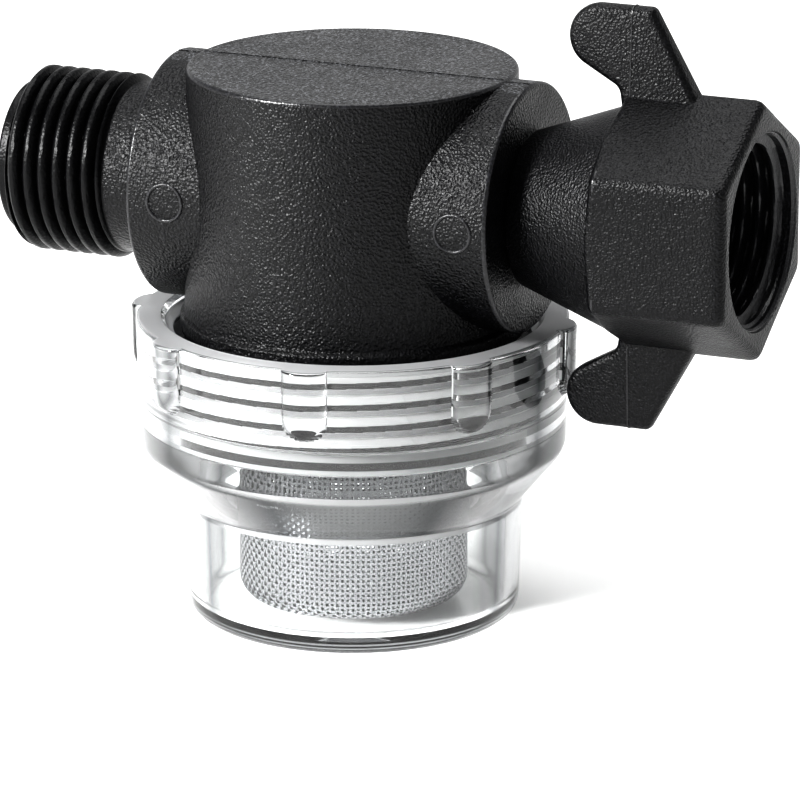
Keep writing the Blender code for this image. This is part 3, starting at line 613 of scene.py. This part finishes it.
def makeBowl():
    # One closed wall section turned about the upright axis: up the outside, over the rim, down the inside.
    b = bowl
    seat = sealLow[2] - touchGap
    seatRadius = (fits["skirtRoot"] + b["seatOuter"]) / 2
    inner, root, hole = b["cupRadius"] - b["cupWall"], fits["bowlRoot"], b["axisHole"]
    profile = softProfile([
        (hole, 0, 0), (b["cupRadius"] - b["cupDraft"], 0, b["baseRound"]),
        (b["cupRadius"], b["cupTop"], b["cupRound"]),
        (b["ringRadius"] - b["ringDraft"], b["ringFoot"], b["shoulderRound"]),
        (b["ringRadius"], ringTop, b["edge"]), (root + b["mouthWidth"], ringTop, b["mouthRound"]),
        (root, ringTop - b["mouthDepth"], 0), (root, skirtEnd + b["threadFoot"], 0),
        (seatRadius, skirtEnd + b["seatTop"], b["seatBlend"]), (seatRadius, seat, b["seatFoot"]),
        (inner, seat, b["seatEdge"]), (inner - b["cupDraft"], b["floor"], b["innerRound"]),
        (hole, b["floor"], 0),
    ], 8)
    rows = divided(profile, b["rowSpacing"])
    height, radius = rows[:, 1], rows[:, 0]
    ribEnd = ringTop - b["ribLength"]
    threaded = (np.abs(radius - root) < fits["onWall"]) & (height > skirtEnd)
    seated = (np.abs(radius - seatRadius) < fits["onWall"]) & (height > seat)
    ribFoot = (radius > b["ribRows"]) & (height > ribEnd - b["seatFoot"]) & (height < ribEnd + b["ribAbove"])
    corner = np.r_[True, np.abs(np.diff(np.unwrap(np.arctan2(*np.diff(rows, axis=0).T)))) > 1e-3, True]
    rows = rows[threaded | seated | ribFoot | corner | (np.arange(len(rows)) % b["rowSkip"] == 0)]
    sector = 2 * np.pi / b["ribCount"]
    edge = b["ribHalf"] / b["ringRadius"]
    across = edge * np.cos(np.linspace(np.pi, 0, 15))
    between = np.linspace(edge, sector - edge, 22)[1:-1]
    turn = np.concatenate([across, between])
    angles = (b["ribPhase"] + sector * np.arange(b["ribCount"])[:, None] + turn[None, :]).ravel()
    piece = meshObject("bowl_clear_moulding", [turnedZ(rows, angles, bowlRelief)])
    looks = [clearLook, veiledLook, satinLook, pressedLook]
    finished(piece, looks, "bowl", ["clear_bowl"], "bowl_clear", b["sharp"])
    middles, normals = faceMiddles(piece)
    x, y, z = middles.T
    reach = np.hypot(x, y)
    outward = (normals[:, 0] * x + normals[:, 1] * y) / reach
    phase = skirtPhase(z, np.arctan2(y, x))
    window = np.abs(phase - np.round(phase)) * fits["bowlPitch"] < b["rootLine"] / 2
    flank = (~window & (outward < b["facesIn"]) & (reach > b["flankFrom"])
             & (z > skirtEnd + b["seatTop"]))
    rim = (normals[:, 2] > b["facesUp"]) & (reach > root) & (z > ringTop - b["rimSkin"])
    contact = np.abs(z - (sealLow[2] + sealHigh[2]) / 2) < b["sealLine"] / 2
    seatWall = (outward < -b["squareOn"]) & (reach > inner + 1) & (z < skirtEnd + b["seatAbove"]) & ~contact
    shoulder = (outward > 0) & (z < b["ringFoot"] + b["blend"]) & (z > b["cupTop"] - b["cupBlend"])
    inside = (outward < b["facesIn"]) & (reach > inner + 1) & (reach < root + fits["onWall"])
    onThread = (z > skirtEnd + b["windowFoot"]) & (z < ringTop - b["windowHead"]) & window
    # Painted shade: the thread's root windows and the seal's contact line take the near-black tint as dark
    # lines.
    pressed = inside & (onThread | ((z < skirtEnd) & contact))
    setLooks(piece, np.where(pressed, 3, shoulder + 2 * (flank | rim | seatWall)))
    piece.visible_shadow = False      # clear plastic lets the lamps through to the screen and the floor


makeBowl()


# Wing nut, in millimetres: stations lie along the pipe, rises are square to it.
nut = {
    "smallEnd": 8.8, "flatHalf": 12.95, "hexStart": 33.45, "stepLength": 1.0, "cornerPower": 52,
    "mouthRound": 1.2, "mouthRadius": 11.15, "threadRoot": 10.75, "threadCrest": 9.65, "bore": 7.5,
    "threadStart": 39.9, "wall": 38.8, "shoulder": 33.15,
    "tip": 24.08, "lobeRadius": 3.63, "lobePlace": (29.9, 20.45), "rootHalf": 1.65, "tipHalf": 1.1,
    "wingEdge": 0.85, "parting": 33.75, "flashHalf": 0.07, "flashRise": 0.06, "flashFoot": 14.2,
    "flatBearing": 30, "stepLead": 0.6, "threadShare": 0.2, "threadFade": 0.8, "threadHead": 0.9,
    "wingFoot": (36.0, 11.6), "wingToe": (44.5, 12.4), "wingHeel": (41.3, 14.5), "wingTop": 36.1,
    "wingBack": (32.9, 11.2), "trail": (1.7, 15.3), "trailShift": (0.25, -0.35), "heelRound": 1.6,
    "tipRound": 0.9, "trailRound": 1.5, "outlineStep": 0.5, "columns": 288,
    "mouthCorner": 0.1, "mouthDepth": 0.5, "washerSeat": 0.2, "boreLead": 0.4, "insideSpacing": 0.15,
    "coneShort": 0.7, "coneRows": 24, "swellRows": 12, "hexagonRows": 14, "mouthRows": 9, "skin": 0.1,
}


def nutRadius(station, angle):
    # Cone up to the hexagon, then the hexagon's radius, swelling over a short quarter ellipse. The hexagon
    # is the soft minimum of its six flats: the flats' distances are joined by a high power.
    n = nut
    flats = np.radians(n["flatBearing"] + 60 * np.arange(6))[:, None, None]
    near = np.maximum(0, np.cos(angle[None] - flats)) / n["flatHalf"]
    hexagon = (near ** n["cornerPower"]).sum(0) ** (-1 / n["cornerPower"])
    cone = n["smallEnd"] + (n["flatHalf"] - n["smallEnd"]) * np.clip(
        (station - nutLow[0]) / (n["hexStart"] - nutLow[0]), 0, 1)
    swell = 1 - np.clip((station - n["hexStart"] + n["stepLead"]) / n["stepLength"], 0, 1)
    radius = cone + (hexagon - cone) * np.sqrt(1 - swell ** 2)
    over = np.clip(station - (nutHigh[0] - n["mouthRound"]), 0, n["mouthRound"])
    return radius - n["mouthRound"] + np.sqrt(n["mouthRound"] ** 2 - over ** 2)


def nutInside(radius, station, angle):
    # The thread's ridge stands inwards from its root, and fades at both ends.
    n = nut
    phase = station / fits["pipePitch"] + angle / (2 * np.pi)
    wave = eased(threadWave(phase, n["threadShare"], n["threadShare"]))
    fade = (eased((station - n["threadStart"]) / n["threadFade"])
            * eased((nutHigh[0] - n["threadHead"] - station) / n["threadFade"]))
    onRoot = np.abs(radius - n["threadRoot"]) < fits["onWall"]
    return -(n["threadRoot"] - n["threadCrest"]) * wave * fade * onRoot


def wingHalf(rise):
    # Half thickness, falling in a straight line from the hexagon's flat to the tip.
    n = nut
    share = (rise - n["flatHalf"]) / (n["tip"] - n["flatHalf"])
    return n["rootHalf"] + (n["tipHalf"] - n["rootHalf"]) * share


def wingShape(side):
    # Outline in (station, rise): straight edges, a round lobe, and fillets. Each row insets the outline
    # along its own normals by e(1 - cos t) and lifts it by e sin t: a quarter round on each face.
    n = nut
    lobe = np.array(n["lobePlace"])
    trail = np.array((n["parting"] - n["trail"][0], n["trail"][1]))
    away = trail - lobe
    tangent = math.atan2(away[1], away[0]) - math.acos(n["lobeRadius"] / np.linalg.norm(away)) + 2 * math.pi
    turn = np.linspace(math.radians(90), tangent, 28)
    arc = lobe + n["lobeRadius"] * np.stack([np.cos(turn), np.sin(turn)], axis=1)
    dip = trail + n["trailShift"]
    front = softProfile([(*n["wingFoot"], 0), (*n["wingToe"], 0), (*n["wingHeel"], n["heelRound"]),
                         (n["wingTop"], n["tip"], n["tipRound"]), (arc[0, 0], arc[0, 1], 0)], 8)[1:-1]
    back = softProfile([(arc[-1, 0], arc[-1, 1], 0), (dip[0], dip[1], n["trailRound"]), (*n["wingBack"], 0),
                        (*n["wingFoot"], 0)], 8)[1:]
    outline = divided(np.vstack([front, arc, back]), n["outlineStep"])
    outline = outline[np.r_[True, np.linalg.norm(np.diff(outline, axis=0), axis=1) > fits["onWall"]]]
    leg = np.roll(outline, -1, 0) - np.roll(outline, 1, 0)
    inward = np.stack([-leg[:, 1], leg[:, 0]], axis=1) / np.linalg.norm(leg, axis=1)[:, None]
    quarter = np.linspace(0, np.pi / 2, 6)
    lift = np.concatenate([quarter[::-1], quarter])
    signs = np.repeat([-1.0, 1.0], len(quarter))
    inset = n["wingEdge"] * (1 - np.cos(lift))
    loop = outline[None] + inward[None] * inset[:, None, None]
    across = signs[:, None] * (wingHalf(loop[..., 1]) - n["wingEdge"] * (1 - np.sin(lift))[:, None])
    return gridShape(np.stack([loop[..., 0], across, pipeHeight + side * loop[..., 1]], axis=-1))


def flashShape(side):
    # Thin slice across the wing at the mould's parting plane, a hair prouder than the wing all round.
    n = nut
    rise, foot, top = n["flashRise"], n["flashFoot"], n["tip"] + n["flashRise"]
    low, high = wingHalf(foot) + rise, wingHalf(top) + rise
    loop = softProfile([(-low, foot, 0), (-high, top, n["wingEdge"]), (high, top, n["wingEdge"]),
                        (low, foot, 0)], 6)
    stations = n["parting"] + n["flashHalf"] * np.array([-1.0, 1.0])
    return gridShape(np.stack([np.column_stack([np.full(len(loop), station), loop[:, 0],
                                                pipeHeight + side * loop[:, 1]]) for station in stations]))


def makeWingNut():
    # One closed section turned about the pipe axis, with the wings and their flash joined on.
    n = nut
    swellEnd, hexagonFrom, mouthFrom = n["hexStart"] + 0.5, n["hexStart"] + 1, nutHigh[0] - n["mouthRound"]
    outside = np.concatenate([
        np.linspace(nutLow[0], n["hexStart"] - n["coneShort"], n["coneRows"]),
        np.linspace(n["hexStart"] - n["stepLead"], swellEnd, n["swellRows"]),
        np.linspace(hexagonFrom, mouthFrom, n["hexagonRows"]),
        nutHigh[0] - n["mouthRound"] * (1 - np.sin(np.linspace(0.15, 0.5, n["mouthRows"]) * np.pi))])
    inside = divided(softProfile([
        (n["mouthRadius"], nutHigh[0], n["mouthCorner"]), (n["threadRoot"], nutHigh[0] - n["mouthDepth"], 0),
        (n["threadRoot"], n["threadStart"], 0), (n["threadCrest"], n["wall"], 0),
        (n["threadCrest"], n["shoulder"], n["washerSeat"]), (n["bore"], n["shoulder"], n["mouthCorner"]),
        (n["bore"], nutLow[0], n["washerSeat"]), (n["bore"] + n["boreLead"], nutLow[0], 0),
    ]), n["insideSpacing"])[1:]
    angle = 2 * np.pi * np.arange(n["columns"])[None, :] / n["columns"]
    outer = nutRadius(outside[:, None], angle)
    inner = inside[:, :1] + nutInside(inside[:, :1], inside[:, 1:], angle)
    rim = outer[-1:] + (n["mouthRadius"] - outer[-1:]) * np.array([[0.5], [0.97]])
    radius = np.vstack([outer, rim, inner])
    station = np.concatenate([outside, [nutHigh[0]] * 2, inside[:, 1]])[:, None]
    across, up = radius * np.sin(angle), pipeHeight + radius * np.cos(angle)
    shell = gridShape(np.stack(np.broadcast_arrays(station, across, up), axis=-1), True)
    piece = meshObject("wing_nut_moulding", [shell])
    carved(piece, [("UNION", [shape(side)]) for side in (1, -1) for shape in (wingShape, flashShape)])
    finished(piece, [nutLook, edgeLook], "nut", ["wing_nut"], "nut_black")
    middles, normals = faceMiddles(piece)
    reach = np.hypot(middles[:, 1], middles[:, 2] - pipeHeight)
    # Painted highlight lines: the inside of the mouth and the flash along the parting line take the lighter
    # edge copy.
    core = (reach < n["mouthRadius"] + n["skin"]) & (middles[:, 0] > n["hexStart"])
    onFlash = np.abs(middles[:, 0] - n["parting"]) < n["flashHalf"] + fits["onWall"]
    parting = onFlash & (reach > n["flashFoot"] + n["skin"])
    setLooks(piece, core | parting)


makeWingNut()


# Woven screen, in millimetres; sides is the number of faces round a wire.
weave = {"pitch": 0.57, "wire": 0.20, "swing": 0.09, "sides": 4, "corner": 2.5, "floorReach": 10.7}


def wireTubes(centres, normals, sides):
    # For each wire, point = centre + r(cos t normal + sin t side), side being square to wire and normal.
    along = np.gradient(centres, axis=1)
    across = np.cross(along, normals)
    across /= np.linalg.norm(across, axis=-1, keepdims=True)
    turn = 2 * np.pi * (np.arange(sides) + 0.5) / sides
    ring = np.cos(turn)[:, None] * normals[:, :, None] + np.sin(turn)[:, None] * across[:, :, None]
    return centres[:, :, None] + weave["wire"] * ring


def tubeShape(points, closed):
    # Every wire is a grid of rings of its own, with both ends filled unless it is a hoop.
    wires, rows, columns = points.shape[:3]
    single = gridShape(points[0], closed)
    starts = (np.arange(wires) * rows * columns)[:, None, None]
    faces = [(group[None] + starts).reshape(-1, group.shape[1]) for group in single["faces"]]
    return {"points": points.reshape(-1, 3), "faces": faces}


def makeScreen():
    # Upright wires and hoops cross over and under by turns: the swing is a cosine of pitch and number.
    w = weave
    middle = screenHigh[0] - w["wire"] - w["swing"]
    floor = screenLow[2] + w["wire"] + w["swing"]
    top = screenHigh[2] - w["wire"]
    straight, bend = top - floor - w["corner"], w["corner"] * np.pi / 2
    warps = 2 * round(np.pi * middle / w["pitch"])

    def wall(run):
        # Path down the wall and round the corner, with its outward normal, by length from the top.
        turn = np.clip((run - straight) / w["corner"], 0, np.pi / 2)
        radius = middle - w["corner"] * (1 - np.cos(turn))
        height = top - np.minimum(run, straight) - w["corner"] * np.sin(turn)
        return radius, height, np.cos(turn), -np.sin(turn)

    def placed(run, angle, swing):
        radius, height, outward, upward = wall(run)
        east, north = np.cos(angle), np.sin(angle)
        normal = np.stack(np.broadcast_arrays(outward * east, outward * north, upward), axis=-1)
        centre = np.stack(np.broadcast_arrays(radius * east, radius * north, height), axis=-1)
        return centre + swing[..., None] * normal, normal

    run = np.arange(0, straight + bend, w["pitch"] / 2)[None, :]
    number = np.arange(warps)[:, None]
    swing = w["swing"] * np.cos(np.pi * run / w["pitch"] + np.pi * number)
    warpTubes = wireTubes(*placed(run, 2 * np.pi * number / warps, swing), w["sides"])
    rows = np.arange(w["pitch"] / 2, straight + bend, w["pitch"])[:, None]
    step = np.arange(2 * warps)[None, :]
    swing = -w["swing"] * np.cos(np.pi * step / 2 + np.pi * rows / w["pitch"])
    centres, normals = placed(rows, np.pi * step / warps, swing)
    around = np.stack([-np.sin(np.pi * step / warps), np.cos(np.pi * step / warps), 0 * step], axis=-1)
    across = np.cross(np.broadcast_to(around, normals.shape), normals)
    turn = 2 * np.pi * (np.arange(w["sides"]) + 0.5) / w["sides"]
    hoops = centres[:, :, None] + w["wire"] * (np.cos(turn)[:, None] * normals[:, :, None]
                                               + np.sin(turn)[:, None] * across[:, :, None])
    piece = meshObject("screen_wall_weave", [tubeShape(warpTubes, False), tubeShape(hoops, True)])
    finished(piece, [wireLook], "screen", ["screen_mesh_cup"], "screen_steel", 80)

    count = int(w["floorReach"] / w["pitch"])
    offset = w["pitch"] * np.arange(-count, count + 1)[:, None]
    reach = np.sqrt(w["floorReach"] ** 2 - offset ** 2)
    spot = reach * np.linspace(-1, 1, 4 * count + 1)[None, :]
    lift = w["swing"] * np.cos(np.pi * (spot + offset) / w["pitch"])
    upright = np.broadcast_to(np.array([0.0, 0.0, 1.0]), spot.shape + (3,))
    line = np.stack(np.broadcast_arrays(spot, offset, floor + lift), axis=-1)
    crossLine = np.stack(np.broadcast_arrays(offset, spot, floor - lift), axis=-1)
    piece = meshObject("screen_floor_weave", [tubeShape(wireTubes(path, upright, w["sides"]), False)
                                              for path in (line, crossLine)])
    finished(piece, [wireLook], "screen", ["screen_mesh_cup"], "screen_steel", 80)


makeScreen()


# Pressed rim ring, rubber seals and split retaining ring, in millimetres, with the split in radians.
rings = {
    "rimBore": 12.5, "rimSleeve": 13.4, "rimSheet": 0.4, "rimBend": 0.5, "rimEdge": 0.15, "rimLip": 0.1,
    "washerBore": 5.9, "washerFoot": 0.25, "washerFace": 0.35,
    "splitBore": 6.8, "splitGap": math.radians(28), "splitInner": 0.15, "splitOuter": 0.3,
    "rimColumns": 160, "sealColumns": 192, "sealSides": 20, "washerColumns": 128, "splitColumns": 120,
}


def makeRings():
    # Each ring is its section turned once round; the retaining ring stops short at its split.
    r = rings
    inner, sleeve, outer, under = r["rimBore"], r["rimSleeve"], rimHigh[0], rimHigh[2] - r["rimSheet"]
    rim = softProfile([
        (inner, under, r["rimLip"]), (sleeve, under, r["rimEdge"]), (sleeve, rimLow[2], r["rimLip"]),
        (outer, rimLow[2], r["rimEdge"]), (outer, rimHigh[2], r["rimBend"]),
        (inner, rimHigh[2], r["rimEdge"])])
    piece = meshObject("screen_rim_pressed", [turnedZ(rim, r["rimColumns"], None, True)])
    finished(piece, [rimLook], "screen", ["screen_rim_ring"], "screen_steel")

    section = (sealHigh[2] - sealLow[2]) / 2
    turn = 2 * np.pi * np.arange(r["sealSides"]) / r["sealSides"]
    circle = np.stack([sealHigh[0] - section + section * np.cos(turn),
                       (sealHigh[2] + sealLow[2]) / 2 + section * np.sin(turn)], axis=1)
    piece = meshObject("bowl_seal_ring", [turnedZ(circle, r["sealColumns"], None, True)])
    finished(piece, [rubberLook], "housing", ["bowl_o_ring"], "seal_rubber")

    outer = washerHigh[2] - pipeHeight
    flat = softProfile([
        (r["washerBore"], washerLow[0], r["washerFoot"]), (outer, washerLow[0], r["washerFoot"]),
        (outer, washerHigh[0], r["washerFace"]), (r["washerBore"], washerHigh[0], r["washerFace"])])
    piece = meshObject("outlet_flat_washer", [turnedX(flat, r["washerColumns"], None, True)])
    finished(piece, [rubberLook], "housing", ["outlet_washer"], "seal_rubber")

    outer, gap = splitHigh[1], r["splitGap"]
    section = softProfile([
        (r["splitBore"], splitLow[0], r["splitInner"]), (outer, splitLow[0], r["splitOuter"]),
        (outer, splitHigh[0], r["splitOuter"]), (r["splitBore"], splitHigh[0], r["splitInner"])])
    turn = np.linspace(gap / 2, 2 * np.pi - gap / 2, r["splitColumns"])[:, None]
    points = np.stack(np.broadcast_arrays(section[None, :, 1], section[None, :, 0] * np.sin(turn),
                                          pipeHeight + section[None, :, 0] * np.cos(turn)), axis=-1)
    piece = meshObject("nut_split_ring", [gridShape(points)])
    finished(piece, [acetalLook], "housing", ["nut_retaining_ring"], "ring_acetal")


makeRings()


# Camera in degrees and millimetres; lamps in degrees, millimetres and watts.
view = {
    "azimuth": 23.21, "elevation": 14.563, "distance": 674.06, "lens": 269.0, "right": 5.27, "down": 23.84,
}
studio = {
    "floor": "#f4f4f3", "horizon": "#ffffff", "sky": "#a8a9ab", "skyLevel": 0.72,
    "keyAzimuth": -36.0, "keyElevation": 27.0, "keyReach": 620.0, "keySize": 170.0, "keyPower": 6.5,
    "topBack": 140.0, "topRise": 640.0, "topSize": 700.0, "topPower": 3.8,
    "floorReach": 4000, "floorGap": 0.05, "wallTop": 0.18, "skyStart": 0.5,
}


def direction(azimuth, elevation):
    # Unit vector towards a place at that bearing from -Y round to +X, and that height above the horizon.
    a, e = math.radians(azimuth), math.radians(elevation)
    return np.array([math.sin(a) * math.cos(e), -math.cos(a) * math.cos(e), math.sin(e)])


def aimed(thing, place, target):
    # The thing's back points from the target to its place, and its right stays level.
    back = np.array(place) - np.array(target)
    right = np.cross([0, 0, 1], back)
    right = right / np.linalg.norm(right)
    back = back / np.linalg.norm(back)
    up = np.cross(back, right)
    matrix = np.eye(4)
    matrix[:3, :3] = np.stack([right, up, back], axis=1)
    matrix[:3, 3] = np.array(place) * mm
    thing.matrix_world = Matrix(matrix.tolist())


def softbox(name, size, power, place, target):
    # A square lamp of the given side and power, aimed at the target.
    lamp = bpy.data.objects.new(name, bpy.data.lights.new(name, "AREA"))
    bpy.context.scene.collection.objects.link(lamp)
    lamp.data.shape, lamp.data.size, lamp.data.energy = "SQUARE", size * mm, power
    aimed(lamp, place, target)


def makeStudio():
    # The camera stands at its bearing and height, and looks a little right of and below the pipe axis.
    s, v = studio, view
    middle = np.array([0, 0, pipeHeight])
    back = direction(v["azimuth"], v["elevation"])
    right = direction(v["azimuth"] + 90, 0)
    up = np.cross(back, right)
    camera = bpy.data.objects.new("camera", bpy.data.cameras.new("camera"))
    bpy.context.scene.collection.objects.link(camera)
    camera.data.sensor_width, camera.data.lens = 36, v["lens"]
    camera.data.clip_start, camera.data.clip_end = 0.05, 20
    aimed(camera, middle + v["distance"] * back, middle + v["right"] * right - v["down"] * up)
    bpy.context.scene.camera = camera

    keyPlace = middle + s["keyReach"] * direction(s["keyAzimuth"], s["keyElevation"])
    topPlace = middle - s["topBack"] * direction(v["azimuth"], 0) + np.array([0, 0, s["topRise"]])
    softbox("key", s["keySize"], s["keyPower"], keyPlace, middle)
    softbox("top", s["topSize"], s["topPower"], topPlace, middle)

    far, down = s["floorReach"], -s["floorGap"]
    corners = np.array([[-far, -far, down], [far, -far, down], [far, far, down], [-far, far, down]], float)
    floor = meshObject("floor", [{"points": corners, "faces": [np.array([[0, 1, 2, 3]])]}])
    look, tree, shader, place = newLook("floor_matte_card")
    shader.inputs["Base Color"].default_value = hexColor(s["floor"])
    shader.inputs["Roughness"].default_value = 0.9
    floor.data.materials.append(look)

    # A white wall all round, up to about fifteen degrees, under a dim ceiling.
    world = bpy.data.worlds.new("studio")
    bpy.context.scene.world = world
    world.use_nodes = True
    tree = world.node_tree
    background = tree.nodes["Background"]
    place = addNode(tree, "ShaderNodeTexCoord", {})
    parts = addNode(tree, "ShaderNodeSeparateXYZ", {}, [("Vector", place, "Generated")])
    blend = addNode(tree, "ShaderNodeValToRGB", {}, [("Fac", parts, "Z")])
    for stop, position, tone in zip(blend.color_ramp.elements, ("wallTop", "skyStart"), ("horizon", "sky")):
        stop.position, stop.color = s[position], hexColor(s[tone])
    tree.links.new(blend.outputs["Color"], background.inputs["Color"])
    background.inputs["Strength"].default_value = s["skyLevel"]
    bpy.context.scene.view_settings.view_transform = "Standard"
    bpy.context.scene.view_settings.look = "High Contrast"


makeStudio()
